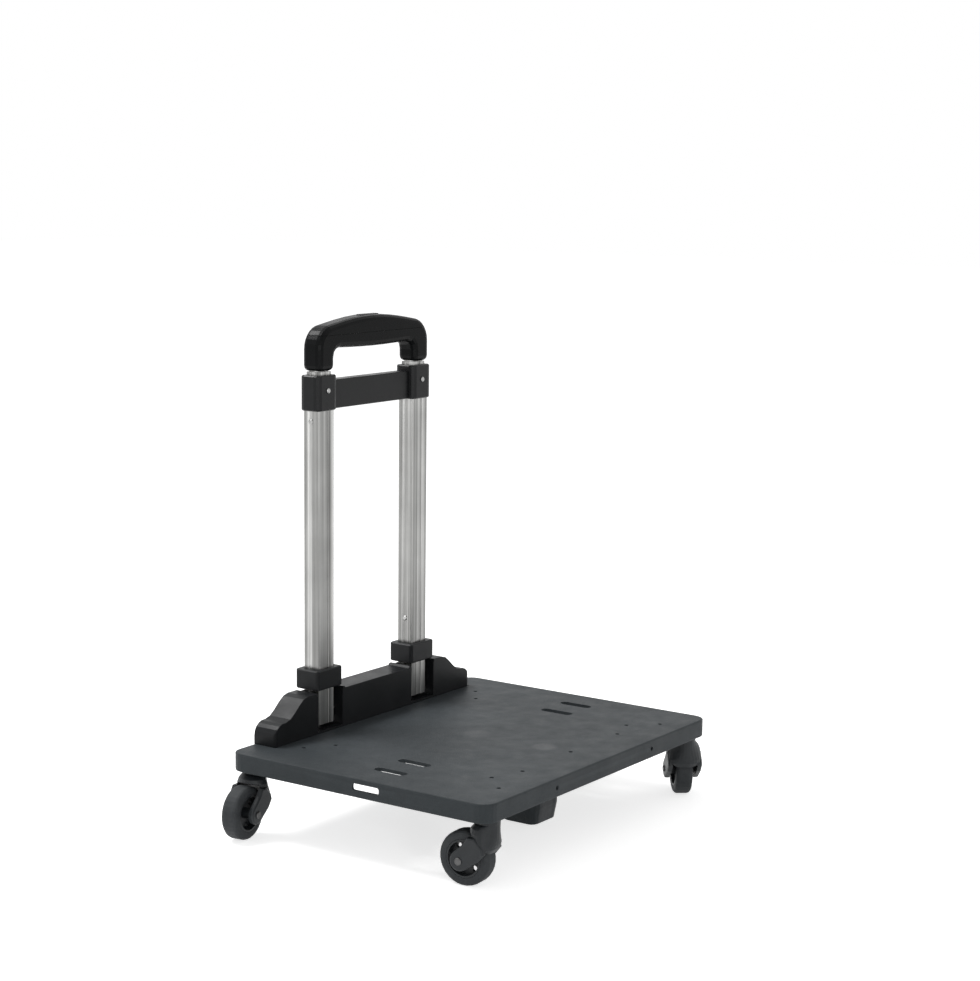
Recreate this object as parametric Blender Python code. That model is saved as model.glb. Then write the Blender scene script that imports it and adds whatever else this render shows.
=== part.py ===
"""Folding trolley: a moulded deck on four swivel casters, with a telescopic handle that folds down onto it.

Units are metres. +X runs along the handle bar, +Y points from the front edge to the handle, +Z is up.
The origin is the centre of the deck's top face, and the wheels stand on FLOOR_Z.
"""

import math

import bmesh
import bpy
from mathutils import Matrix, Vector

# Gaps between pieces
FIT_GAP = 0.0003
SLIDE_GAP = 0.0008
CUT_MARGIN = 0.01
EDGE_SLOPE = 0.0012

# Deck
DECK_WIDTH = 0.460
DECK_DEPTH = 0.352
DECK_CORNER_RADIUS = 0.017
SKIRT_HEIGHT = 0.021
SKIRT_WALL = 0.003
DECK_PLATE = 0.004
DECK_EDGE_ROUND = 0.0015
RIB_THICKNESS = 0.0025
RIB_FROM_SIDE = 0.155

# Strap slots through the deck, in two pairs, and the strap slot in each side skirt
STRAP_SLOT_LENGTH = 0.043
STRAP_SLOT_WIDTH = 0.0120
STRAP_SLOT_CENTRE_Y = -0.017
STRAP_SLOTS_FROM_SIDE = (0.0450, 0.0875)
SKIRT_SLOT_LENGTH = 0.036
SKIRT_SLOT_HEIGHT = 0.0075
SKIRT_SLOT_DROP = 0.0092

# Small holes: the places are distances in from the deck's side, front or rear edge
SMALL_HOLE_RADIUS = 0.0026
CORNER_HOLES_FROM_SIDE_AND_FRONT = ((0.063, 0.0295), (0.0915, 0.0585), (0.132, 0.046))
CORNER_HOLES_FROM_SIDE_AND_REAR = ((0.063, 0.056), (0.093, 0.0775))
FRONT_CENTRE_HOLE_FROM_EDGE = 0.047
SKIRT_HOLE_FROM_SIDE = 0.131
SKIRT_HOLE_DROP = 0.0103

# Moulded foot under the front half of the deck
FOOT_CENTRE_Y = -0.074
FOOT_TOP_WIDTH = 0.056
FOOT_TOP_DEPTH = 0.050
FOOT_BOTTOM_WIDTH = 0.047
FOOT_BOTTOM_DEPTH = 0.044
FOOT_SHOULDER_HEIGHT = 0.018
FOOT_FLOOR_GAP = 0.0105
FOOT_WALL = 0.0035

# Casters
WHEEL_DIAMETER = 0.060
TYRE_WIDTH = 0.020
TYRE_THICKNESS = 0.009
TYRE_ROUND = 0.0045
HUB_RIM = 0.0020
HUB_WEB = 0.0045
HUB_BOSS_RADIUS = 0.0062
HUB_HOLE_RADIUS = 0.0036
HUB_HOLES = 6
AXLE_RADIUS = 0.003
AXLE_HEAD_RADIUS = 0.0042
AXLE_HEAD_HEIGHT = 0.0012
CASTER_TRAIL = 0.0255
CASTER_FROM_SIDE = 0.026
CASTER_FROM_END = 0.0155
WHEEL_TOP_BELOW_SKIRT = 0.0156
FORK_HALF_WIDTH = 0.0205
FORK_LEG = 0.0055
FORK_LEG_ROUND = 0.0112
FORK_WHEEL_GAP = 0.0025
HOOD_TOP_HALF_WIDTH = 0.0166
HOOD_REAR = 0.0200
HUB_SIDE_GAP = 0.0008
NECK_RADIUS = 0.0118
SOCKET_RADIUS = 0.0110
SOCKET_PROUD = 0.0010
SOCKET_BOSS_WALL = 0.0025
STEM_RADIUS = 0.0045
STEM_HEAD_RADIUS = 0.0075
STEM_HEAD_HEIGHT = 0.002
STEM_DEPTH_IN_NECK = 0.014
# Direction in which each wheel trails behind its stem, in degrees from +X, as the casters stand at rest
CASTER_TRAIL_ANGLES = {"front_left": 95.0, "rear_left": 188.0, "front_right": 40.0, "rear_right": -8.0}
# How far each wheel has rolled from having a hub hole straight behind its axle, in degrees
WHEEL_TURNS = {"front_left": 50.0, "rear_left": -41.0, "front_right": 0.0, "rear_right": 20.0}

# Handle tubes: three nested sections a side
TUBE_CENTRE_X = 0.0892
OUTER_TUBE_WIDTH = 0.0290
OUTER_TUBE_DEPTH = 0.0224
OUTER_TUBE_WALL = 0.0015
INNER_TUBE_WALL = 0.0013
TUBE_CORNER_RADIUS = 0.0022
OUTER_FLUTE_DEPTH = 0.0008
INNER_FLUTE_DEPTH = 0.0005
FLUTE_SHARE = 0.30
TUBE_BACK_FROM_DECK_EDGE = 0.0031
STAGE_TRAVEL = 0.120
OUTER_TUBE_TOP_Z = 0.4097
TUBE_FOOT_HEIGHT = 0.0305
STAGE_FOOT_FLANGE = 0.008
STAGE_FOOT_SPIGOT = 0.009
STAGE_FOOT_GAP = 0.0006

# Base bracket
BRACKET_FROM_DECK_SIDE = 0.0425
BRACKET_FRONT_FROM_TUBE = 0.0057
BRACKET_SEAT_DEPTH = 0.0005
BRACKET_SEAT_GAP = 0.0004
BRACKET_TOP_Z = 0.0480
BRACKET_BAR_TOP_Z = 0.0457
BRACKET_BASE = 0.0027
BRACKET_WALL = 0.0035
BRACKET_SHOULDER_Z = 0.0252
BRACKET_SLOPE_FROM_CHANNEL = 0.0082
BRACKET_SLOPE_FROM_END = 0.0190
BRACKET_END_RADIUS = 0.0155
BRACKET_PLAN_RADIUS = 0.0040
BRACKET_PLAN_TAPER = 0.0006
CHANNEL_HALF_WIDTH = 0.0226
CHANNEL_SIDE_WALL = 0.0090
REAR_WINDOW_ABOVE_PIVOT = 0.0150
BRACKET_SCREW_FROM_END = 0.0185
BRACKET_SCREW_INNER_X = 0.0200
BRACKET_SCREW_FROM_REAR = 0.0165
BRACKET_WEB_HALF = 0.0060
SCREW_RADIUS = 0.0025
SCREW_HEAD_RADIUS = 0.0046
SCREW_HEAD_HEIGHT = 0.0028
SCREW_REACH = 0.014

# Fold pivot
PIVOT_Z = 0.0214
PIVOT_PIN_RADIUS = 0.004
TUBE_BELOW_PIVOT = 0.0138

# Locking collars
COLLAR_WIDTH = 0.0456
COLLAR_DEPTH = 0.0338
COLLAR_HEIGHT = 0.0231
COLLAR_CORNER_RADIUS = 0.0035
COLLAR_ABOVE_BRACKET = 0.0020
COLLAR_LIFT = 0.0250
COLLAR_STOP_GAP = 0.0023
RIVET_RADIUS = 0.0030
RIVET_HEAD_HEIGHT = 0.0011
RIVET_SHANK_RADIUS = 0.0016
GUIDE_RIVET_BELOW_LATCH = 0.0123

# Latch housing at the top of the outer tubes
LATCH_BLOCK_WIDTH = 0.0364
LATCH_BLOCK_DEPTH = 0.0280
LATCH_BLOCK_HEIGHT = 0.0403
LATCH_TOP_PLATE = 0.0025
LATCH_CORNER_RADIUS = 0.0068
LATCH_BAR_DROP = 0.0065
LATCH_BAR_LIFT = 0.0004
LATCH_BAR_DEPTH = 0.0145
LATCH_BAR_RECESS = 0.0072
LATCH_RIVET_FROM_TOP = 0.0174

# Handle grip
HANDLE_ABOVE_LATCH = 0.0044
HANDLE_LEG_HEIGHT = 0.0252
HANDLE_LEG_WIDTH = 0.0284
HANDLE_DEPTH = 0.0265
HANDLE_HALF_WIDTH = 0.1037
HANDLE_SHOULDER_RADIUS = 0.0270
HANDLE_INNER_RADIUS = 0.0110
HANDLE_SIDE_HEIGHT = 0.0520
HANDLE_CROWN = 0.0082
GRIP_SAG = 0.0016
HANDLE_SPLIT_HEIGHT = 0.0405
HANDLE_EDGE_ROUND = 0.0065
TUBE_DEPTH_IN_HANDLE = 0.0225
YOKE_SPACE_DEPTH = 0.0120
YOKE_SPACE_BOTTOM = 0.0046
YOKE_SPACE_HEIGHT = 0.0185
YOKE_HEIGHT = 0.0070
YOKE_THICKNESS = 0.0090
YOKE_END_DROP = 0.0075
YOKE_END_LENGTH = 0.0140
BUTTON_LENGTH = 0.036
BUTTON_WIDTH = 0.0105
BUTTON_PROUD = 0.0005
BUTTON_TRAVEL = 0.0040
PUSH_ROD_RADIUS = 0.0020
SPRING_RADIUS = 0.0032
SPRING_WIRE_RADIUS = 0.00045
SPRING_TURNS = 4
SPRING_STEPS = 8

# Numbers of segments in round pieces
WHEEL_SEGMENTS = 32
ROUND_SEGMENTS = 24
SMALL_SEGMENTS = 12
HUB_HOLE_SEGMENTS = 8

# Places that follow from the sizes above
DECK_HALF_WIDTH = DECK_WIDTH / 2
DECK_HALF_DEPTH = DECK_DEPTH / 2
SKIRT_BOTTOM_Z = -SKIRT_HEIGHT
PLATE_BOTTOM_Z = -DECK_PLATE
SOCKET_BOTTOM_Z = SKIRT_BOTTOM_Z - SOCKET_PROUD
NECK_TOP_Z = SOCKET_BOTTOM_Z - FIT_GAP
WHEEL_RADIUS = WHEEL_DIAMETER / 2
AXLE_Z = SKIRT_BOTTOM_Z - WHEEL_TOP_BELOW_SKIRT - WHEEL_RADIUS
FLOOR_Z = AXLE_Z - WHEEL_RADIUS
FORK_INSIDE = FORK_HALF_WIDTH - FORK_LEG
TUBE_REAR_Y = DECK_HALF_DEPTH - TUBE_BACK_FROM_DECK_EDGE
TUBE_Y = TUBE_REAR_Y - OUTER_TUBE_DEPTH / 2
TUBE_FRONT_Y = TUBE_REAR_Y - OUTER_TUBE_DEPTH
BRACKET_FRONT_Y = TUBE_FRONT_Y - BRACKET_FRONT_FROM_TUBE
BRACKET_HALF_WIDTH = DECK_HALF_WIDTH - BRACKET_FROM_DECK_SIDE
BRACKET_BOTTOM_Z = FIT_GAP - BRACKET_SEAT_DEPTH
BRACKET_SCREW_OUTER_X = BRACKET_HALF_WIDTH - BRACKET_SCREW_FROM_END
CHANNEL_WALL_X = TUBE_CENTRE_X + CHANNEL_HALF_WIDTH + CHANNEL_SIDE_WALL
OUTER_TUBE_BOTTOM_Z = PIVOT_Z - TUBE_BELOW_PIVOT
COLLAR_BOTTOM_Z = BRACKET_TOP_Z + COLLAR_ABOVE_BRACKET
COLLAR_TOP_Z = COLLAR_BOTTOM_Z + COLLAR_HEIGHT
COLLAR_STOP_Z = COLLAR_TOP_Z + COLLAR_LIFT + COLLAR_STOP_GAP + RIVET_RADIUS
LATCH_TOP_Z = OUTER_TUBE_TOP_Z + FIT_GAP + LATCH_TOP_PLATE
LATCH_BOTTOM_Z = LATCH_TOP_Z - LATCH_BLOCK_HEIGHT
GUIDE_RIVET_Z = LATCH_BOTTOM_Z - GUIDE_RIVET_BELOW_LATCH
LATCH_RIVET_Z = LATCH_TOP_Z - LATCH_RIVET_FROM_TOP
MIDDLE_TUBE_WIDTH = OUTER_TUBE_WIDTH - 2 * (OUTER_TUBE_WALL + SLIDE_GAP)
MIDDLE_TUBE_DEPTH = OUTER_TUBE_DEPTH - 2 * (OUTER_TUBE_WALL + SLIDE_GAP)
INNER_TUBE_WIDTH = MIDDLE_TUBE_WIDTH - 2 * (INNER_TUBE_WALL + SLIDE_GAP)
INNER_TUBE_DEPTH = MIDDLE_TUBE_DEPTH - 2 * (INNER_TUBE_WALL + SLIDE_GAP)
TUBE_FOOT_TOP_Z = OUTER_TUBE_BOTTOM_Z + TUBE_FOOT_HEIGHT
MIDDLE_FOOT_Z = TUBE_FOOT_TOP_Z + STAGE_FOOT_GAP
MIDDLE_TUBE_BOTTOM_Z = MIDDLE_FOOT_Z + STAGE_FOOT_FLANGE + FIT_GAP
MIDDLE_TUBE_TOP_Z = LATCH_TOP_Z + HANDLE_ABOVE_LATCH - STAGE_FOOT_GAP
INNER_FOOT_Z = MIDDLE_TUBE_BOTTOM_Z + STAGE_FOOT_SPIGOT + STAGE_FOOT_GAP
INNER_TUBE_BOTTOM_Z = INNER_FOOT_Z + STAGE_FOOT_FLANGE + FIT_GAP
HANDLE_BOTTOM_Z = LATCH_TOP_Z + HANDLE_ABOVE_LATCH
GRIP_BOTTOM_Z = HANDLE_BOTTOM_Z + HANDLE_LEG_HEIGHT
INNER_TUBE_TOP_Z = HANDLE_BOTTOM_Z + TUBE_DEPTH_IN_HANDLE
HANDLE_SHOULDER_Z = HANDLE_BOTTOM_Z + HANDLE_SIDE_HEIGHT
HANDLE_TOP_Z = HANDLE_SHOULDER_Z + HANDLE_CROWN
HANDLE_SPLIT_Z = HANDLE_BOTTOM_Z + HANDLE_SPLIT_HEIGHT
YOKE_SPACE_BOTTOM_Z = GRIP_BOTTOM_Z + YOKE_SPACE_BOTTOM
YOKE_SPACE_TOP_Z = YOKE_SPACE_BOTTOM_Z + YOKE_SPACE_HEIGHT
YOKE_TOP_Z = YOKE_SPACE_TOP_Z - FIT_GAP
YOKE_BOTTOM_Z = YOKE_TOP_Z - YOKE_HEIGHT
PUSH_ROD_BOTTOM_Z = INNER_TUBE_BOTTOM_Z + STAGE_FOOT_SPIGOT + BUTTON_TRAVEL + STAGE_FOOT_GAP

SIDES = {"left": -1, "right": 1}


def clear_scene():
    for thing in list(bpy.data.objects):
        bpy.data.objects.remove(thing, do_unlink=True)


def make_material(name, colour, roughness, metallic=0.0):
    made = bpy.data.materials.new(name)
    made.use_nodes = True
    shader = made.node_tree.nodes["Principled BSDF"]
    shader.inputs["Base Color"].default_value = (*colour, 1.0)
    shader.inputs["Roughness"].default_value = roughness
    shader.inputs["Metallic"].default_value = metallic
    made.diffuse_color = (*colour, 1.0)
    return made


def make_anchor(name, place, parent=None, turn=0.0):
    """An empty on a joint's axis, which carries the pieces that move with it."""
    anchor = bpy.data.objects.new(name, None)
    bpy.context.collection.objects.link(anchor)
    anchor.parent = parent
    anchor.location = place
    anchor.rotation_euler = (0.0, 0.0, turn)
    bpy.context.view_layer.update()
    return anchor


def add_piece(name, shape, material, anchor=None, smooth_angle=30.0):
    """Turns a bmesh drawn in world space into an object whose origin is its anchor."""
    bmesh.ops.recalc_face_normals(shape, faces=shape.faces)
    mesh = bpy.data.meshes.new(name)
    shape.to_mesh(mesh)
    shape.free()
    mesh.materials.append(material)
    mesh.shade_smooth()
    mesh.set_sharp_from_angle(angle=math.radians(smooth_angle))
    piece = bpy.data.objects.new(name, mesh)
    bpy.context.collection.objects.link(piece)
    if anchor is not None:
        mesh.transform(Matrix.Translation(-anchor.matrix_world.translation))
        piece.parent = anchor
    return piece


def add_copy(name, mesh, anchor):
    piece = bpy.data.objects.new(name, mesh)
    bpy.context.collection.objects.link(piece)
    piece.parent = anchor
    return piece


def add_helper(name, shape):
    bmesh.ops.recalc_face_normals(shape, faces=shape.faces)
    mesh = bpy.data.meshes.new(name)
    shape.to_mesh(mesh)
    shape.free()
    helper = bpy.data.objects.new(name, mesh)
    bpy.context.collection.objects.link(helper)
    helper.hide_render = True
    helper.display_type = "WIRE"
    return helper


def combine(piece, shape, operation, name):
    """Adds a Boolean with a helper made from the given bmesh."""
    helper = shape if isinstance(shape, bpy.types.Object) else add_helper(name, shape)
    modifier = piece.modifiers.new(name, "BOOLEAN")
    modifier.operation = operation
    modifier.object = helper
    return helper


def round_edges(piece, width, segments, angle=40.0):
    modifier = piece.modifiers.new("edge_round", "BEVEL")
    modifier.width = width
    modifier.segments = segments
    modifier.limit_method = "ANGLE"
    modifier.angle_limit = math.radians(angle)


def finished_mesh(piece):
    """The piece's mesh with its modifiers applied. The piece and its helpers are then removed."""
    graph = bpy.context.evaluated_depsgraph_get()
    mesh = bpy.data.meshes.new_from_object(piece.evaluated_get(graph))
    mesh.name = piece.name
    for modifier in piece.modifiers:
        if modifier.type == "BOOLEAN":
            bpy.data.objects.remove(modifier.object, do_unlink=True)
    bpy.data.objects.remove(piece, do_unlink=True)
    return mesh


def arc(centre, radius, start, end, steps):
    """Points on a circle from the start angle to the end angle, in degrees, both ends included."""
    points = []
    for step in range(steps + 1):
        angle = math.radians(start + (end - start) * step / steps)
        points.append((centre[0] + radius * math.cos(angle), centre[1] + radius * math.sin(angle)))
    return points


def rounded_rectangle(width, depth, radius, centre=(0.0, 0.0), steps=3):
    half_x = width / 2 - radius
    half_y = depth / 2 - radius
    points = []
    for quarter, (sign_x, sign_y) in enumerate(((1, 1), (-1, 1), (-1, -1), (1, -1))):
        corner = (centre[0] + sign_x * half_x, centre[1] + sign_y * half_y)
        points += arc(corner, radius, 90 * quarter, 90 * quarter + 90, steps)
    return points


def fluted_rectangle(width, depth, radius, flute, centre, steps=2):
    """A tube's outline: rounded corners, and a shallow flute along the middle of each face."""
    points = []
    corners = ((1, 1), (-1, 1), (-1, -1), (1, -1))
    inward = ((0, -1), (1, 0), (0, 1), (-1, 0))
    for quarter, (sign_x, sign_y) in enumerate(corners):
        corner = (sign_x * (width / 2 - radius), sign_y * (depth / 2 - radius))
        points += arc(corner, radius, 90 * quarter, 90 * quarter + 90, steps)
        along = width if quarter % 2 == 0 else depth
        face = depth / 2 if quarter % 2 == 0 else width / 2
        into = Vector(inward[quarter])
        run = Vector((-into.y, into.x)) * -1.0
        half = along * FLUTE_SHARE / 2
        for place, sink in ((half, 0.0), (half - flute, flute), (flute - half, flute), (-half, 0.0)):
            point = -into * face + into * sink - run * place
            points.append((point.x, point.y))
    return [(centre[0] + x, centre[1] + y) for x, y in points]


def rounded_block(width, depth, radius, centre, low, high, edge, steps=3):
    """An upright block with rounded corners and a narrow slope round its top and bottom faces."""
    full = rounded_rectangle(width, depth, radius, centre, steps)
    less = rounded_rectangle(width - 2 * edge, depth - 2 * edge, radius - edge, centre, steps)
    return loft([(less, low), (full, low + edge), (full, high - edge), (less, high)])


def place_point(pair, level, plane):
    if plane == "XY":
        return Vector((pair[0], pair[1], level))
    if plane == "XZ":
        return Vector((pair[0], level, pair[1]))
    return Vector((level, pair[0], pair[1]))


def prism(outline, low, high, plane="XY", shape=None):
    """A solid with the given outline in one plane, from low to high along the third axis."""
    shape = shape or bmesh.new()
    bottom = [shape.verts.new(place_point(pair, low, plane)) for pair in outline]
    top = [shape.verts.new(place_point(pair, high, plane)) for pair in outline]
    shape.faces.new(bottom)
    shape.faces.new(top)
    count = len(outline)
    for index in range(count):
        after = (index + 1) % count
        shape.faces.new((bottom[index], bottom[after], top[after], top[index]))
    bmesh.ops.recalc_face_normals(shape, faces=shape.faces)
    return shape


def hollow_prism(outer, inner, low, high):
    """A tube along Z. Its two outlines have the same number of points, side by side."""
    shape = bmesh.new()
    rings = []
    for outline, level in ((outer, low), (outer, high), (inner, high), (inner, low)):
        rings.append([shape.verts.new((x, y, level)) for x, y in outline])
    count = len(outer)
    for ring in range(4):
        first = rings[ring]
        second = rings[(ring + 1) % 4]
        for index in range(count):
            after = (index + 1) % count
            shape.faces.new((first[index], first[after], second[after], second[index]))
    return shape


def block(low, high, shape=None):
    outline = [(low[0], low[1]), (high[0], low[1]), (high[0], high[1]), (low[0], high[1])]
    return prism(outline, low[2], high[2], "XY", shape)


def loft(levels):
    """A solid through outlines of equal length, each given with its height."""
    shape = bmesh.new()
    rings = []
    for outline, level in levels:
        rings.append([shape.verts.new((x, y, level)) for x, y in outline])
    shape.faces.new(rings[0])
    shape.faces.new(rings[-1])
    count = len(rings[0])
    for lower, upper in zip(rings, rings[1:]):
        for index in range(count):
            after = (index + 1) % count
            shape.faces.new((lower[index], lower[after], upper[after], upper[index]))
    return shape


def revolve(profile, segments, axis="Z", centre=(0.0, 0.0, 0.0), shape=None):
    """Turns a closed profile of (radius, height) points about an axis through the centre."""
    shape = shape or bmesh.new()
    rings = []
    for radius, height in profile:
        ring = []
        for segment in range(1 if radius == 0.0 else segments):
            angle = 2 * math.pi * segment / segments
            across = (radius * math.cos(angle), radius * math.sin(angle))
            if axis == "Z":
                point = Vector((across[0], across[1], height))
            elif axis == "Y":
                point = Vector((across[0], height, across[1]))
            else:
                point = Vector((height, across[0], across[1]))
            ring.append(shape.verts.new(point + Vector(centre)))
        rings.append(ring)
    for index, ring in enumerate(rings):
        following = rings[(index + 1) % len(rings)]
        if len(ring) == 1 and len(following) == 1:
            continue
        for segment in range(segments):
            after = (segment + 1) % segments
            corners = []
            for vertex in (
                ring[segment % len(ring)],
                ring[after % len(ring)],
                following[after % len(following)],
                following[segment % len(following)],
            ):
                if vertex not in corners:
                    corners.append(vertex)
            shape.faces.new(corners)
    return shape


def rod(radius, low, high, axis, centre, segments=SMALL_SEGMENTS, shape=None):
    return revolve([(0.0, low), (radius, low), (radius, high), (0.0, high)], segments, axis, centre, shape)


def headed_pin(shank, head, head_height, reach, axis, centre, way):
    """A rivet or screw. Its head's underside is at the centre, and its shank runs along the axis by reach."""
    profile = [
        (0.0, -head_height * way),
        (head * 0.75, -head_height * way),
        (head, -head_height * 0.4 * way),
        (head, 0.0),
        (shank, 0.0),
        (shank, reach * way),
        (0.0, reach * way),
    ]
    return revolve(profile, SMALL_SEGMENTS, axis, centre)


def caster_places():
    x = DECK_HALF_WIDTH - CASTER_FROM_SIDE
    y = DECK_HALF_DEPTH - CASTER_FROM_END
    return {
        "front_left": (-x, -y),
        "rear_left": (-x, y),
        "front_right": (x, -y),
        "rear_right": (x, y),
    }


def bracket_screw_places():
    y = DECK_HALF_DEPTH - BRACKET_SCREW_FROM_REAR
    spots = (-BRACKET_SCREW_OUTER_X, -BRACKET_SCREW_INNER_X, BRACKET_SCREW_INNER_X, BRACKET_SCREW_OUTER_X)
    return [(x, y) for x in spots]


def build_deck(plastic):
    """The deck: a top plate with a skirt, ribs, four caster bosses and a moulded foot underneath."""
    outline = rounded_rectangle(DECK_WIDTH, DECK_DEPTH, DECK_CORNER_RADIUS, steps=5)
    deck = add_piece("deck", prism(outline, SKIRT_BOTTOM_Z, 0.0), plastic)
    round_edges(deck, DECK_EDGE_ROUND, 2, 60.0)
    boss_radius = SOCKET_RADIUS + FIT_GAP + SOCKET_BOSS_WALL

    inside = rounded_rectangle(
        DECK_WIDTH - 2 * SKIRT_WALL, DECK_DEPTH - 2 * SKIRT_WALL, DECK_CORNER_RADIUS - SKIRT_WALL, steps=5
    )
    hollow = add_helper("deck_hollow", prism(inside, SKIRT_BOTTOM_Z - CUT_MARGIN, PLATE_BOTTOM_Z))
    low = SKIRT_BOTTOM_Z - 2 * CUT_MARGIN
    ribs = bmesh.new()
    for sign in (-1, 1):
        x = sign * (DECK_HALF_WIDTH - RIB_FROM_SIDE)
        block((x - RIB_THICKNESS / 2, -DECK_DEPTH, low), (x + RIB_THICKNESS / 2, DECK_DEPTH, CUT_MARGIN), ribs)
    combine(hollow, ribs, "DIFFERENCE", "deck_ribs")
    bosses = bmesh.new()
    for x, y in caster_places().values():
        rod(boss_radius, low, CUT_MARGIN, "Z", (x, y, 0.0), ROUND_SEGMENTS, bosses)
    combine(hollow, bosses, "DIFFERENCE", "deck_bosses")
    combine(deck, hollow, "DIFFERENCE", "deck_underside")

    seat_half = BRACKET_HALF_WIDTH + BRACKET_SEAT_GAP
    seat = block(
        (-seat_half, BRACKET_FRONT_Y - BRACKET_SEAT_GAP, -BRACKET_SEAT_DEPTH), (seat_half, DECK_DEPTH, CUT_MARGIN)
    )
    combine(deck, seat, "DIFFERENCE", "deck_bracket_seat")

    openings = bmesh.new()
    for x, y in caster_places().values():
        rod(SOCKET_RADIUS + FIT_GAP, low, PLATE_BOTTOM_Z, "Z", (x, y, 0.0), ROUND_SEGMENTS, openings)
    half_length = STRAP_SLOT_LENGTH / 2
    for from_side in STRAP_SLOTS_FROM_SIDE:
        for sign in (-1, 1):
            x = sign * (DECK_HALF_WIDTH - from_side)
            slot = rounded_rectangle(
                STRAP_SLOT_WIDTH, STRAP_SLOT_LENGTH, STRAP_SLOT_WIDTH * 0.45, (x, STRAP_SLOT_CENTRE_Y), 2
            )
            prism(slot, PLATE_BOTTOM_Z - CUT_MARGIN / 2, CUT_MARGIN, "XY", openings)
    for sign in (-1, 1):
        edge = sign * DECK_HALF_WIDTH
        slot = rounded_rectangle(
            SKIRT_SLOT_LENGTH, SKIRT_SLOT_HEIGHT, SKIRT_SLOT_HEIGHT * 0.3, (STRAP_SLOT_CENTRE_Y, -SKIRT_SLOT_DROP), 2
        )
        prism(slot, edge - SKIRT_WALL * 2, edge + SKIRT_WALL * 2, "YZ", openings)
    small = [(0.0, -DECK_HALF_DEPTH + FRONT_CENTRE_HOLE_FROM_EDGE)]
    for from_side, from_front in CORNER_HOLES_FROM_SIDE_AND_FRONT:
        small += [(sign * (DECK_HALF_WIDTH - from_side), from_front - DECK_HALF_DEPTH) for sign in (-1, 1)]
    for from_side, from_rear in CORNER_HOLES_FROM_SIDE_AND_REAR:
        small += [(sign * (DECK_HALF_WIDTH - from_side), DECK_HALF_DEPTH - from_rear) for sign in (-1, 1)]
    for x, y in small:
        rod(SMALL_HOLE_RADIUS, low, CUT_MARGIN, "Z", (x, y, 0.0), SMALL_SEGMENTS, openings)
    for x, y in bracket_screw_places():
        rod(SCREW_RADIUS + FIT_GAP, low, CUT_MARGIN, "Z", (x, y, 0.0), SMALL_SEGMENTS, openings)
    for sign in (-1, 1):
        place = (sign * (DECK_HALF_WIDTH - SKIRT_HOLE_FROM_SIDE), -DECK_HALF_DEPTH, -SKIRT_HOLE_DROP)
        rod(SMALL_HOLE_RADIUS, -CUT_MARGIN / 2, CUT_MARGIN / 2, "Y", place, SMALL_SEGMENTS, openings)
    combine(deck, openings, "DIFFERENCE", "deck_openings")

    foot = foot_shape(0.0, FLOOR_Z + FOOT_FLOOR_GAP, PLATE_BOTTOM_Z + DECK_PLATE / 2)
    combine(deck, foot, "UNION", "deck_foot")
    foot_hollow = foot_shape(FOOT_WALL, FLOOR_Z + FOOT_FLOOR_GAP - CUT_MARGIN, PLATE_BOTTOM_Z)
    combine(deck, foot_hollow, "DIFFERENCE", "deck_foot_hollow")
    return deck


def foot_shape(inset, bottom, top):
    """The foot's outer shape, or its hollow when inset is its wall."""
    shoulder = FLOOR_Z + FOOT_FLOOR_GAP + FOOT_SHOULDER_HEIGHT
    wide = rounded_rectangle(
        FOOT_TOP_WIDTH - 2 * inset, FOOT_TOP_DEPTH - 2 * inset, 0.012 - inset, (0.0, FOOT_CENTRE_Y), 3
    )
    narrow = rounded_rectangle(
        FOOT_BOTTOM_WIDTH - 2 * inset, FOOT_BOTTOM_DEPTH - 2 * inset, 0.008 - inset, (0.0, FOOT_CENTRE_Y), 3
    )
    levels = [(narrow, bottom)]
    if inset:
        levels.append((narrow, FLOOR_Z + FOOT_FLOOR_GAP))
    levels += [(wide, shoulder + inset), (wide, top)]
    return loft(levels)


def caster_fork_outline():
    """Side view of the fork's legs, as (distance behind the stem, height) points."""
    boss = arc((CASTER_TRAIL, AXLE_Z), FORK_LEG_ROUND, 240, 412, 8)
    top = [
        (CASTER_TRAIL - WHEEL_RADIUS * 0.16, AXLE_Z + WHEEL_RADIUS * 0.64),
        (CASTER_TRAIL - WHEEL_RADIUS * 0.32, AXLE_Z + WHEEL_RADIUS * 0.90),
        (CASTER_TRAIL - WHEEL_RADIUS * 0.62, AXLE_Z + WHEEL_RADIUS * 0.90),
    ]
    front = [
        (-NECK_RADIUS * 0.20, AXLE_Z + WHEEL_RADIUS * 0.58),
        (-NECK_RADIUS * 0.36, AXLE_Z + WHEEL_RADIUS * 0.36),
        (NECK_RADIUS * 0.20, AXLE_Z + WHEEL_RADIUS * 0.08),
    ]
    return boss + top + front


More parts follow.
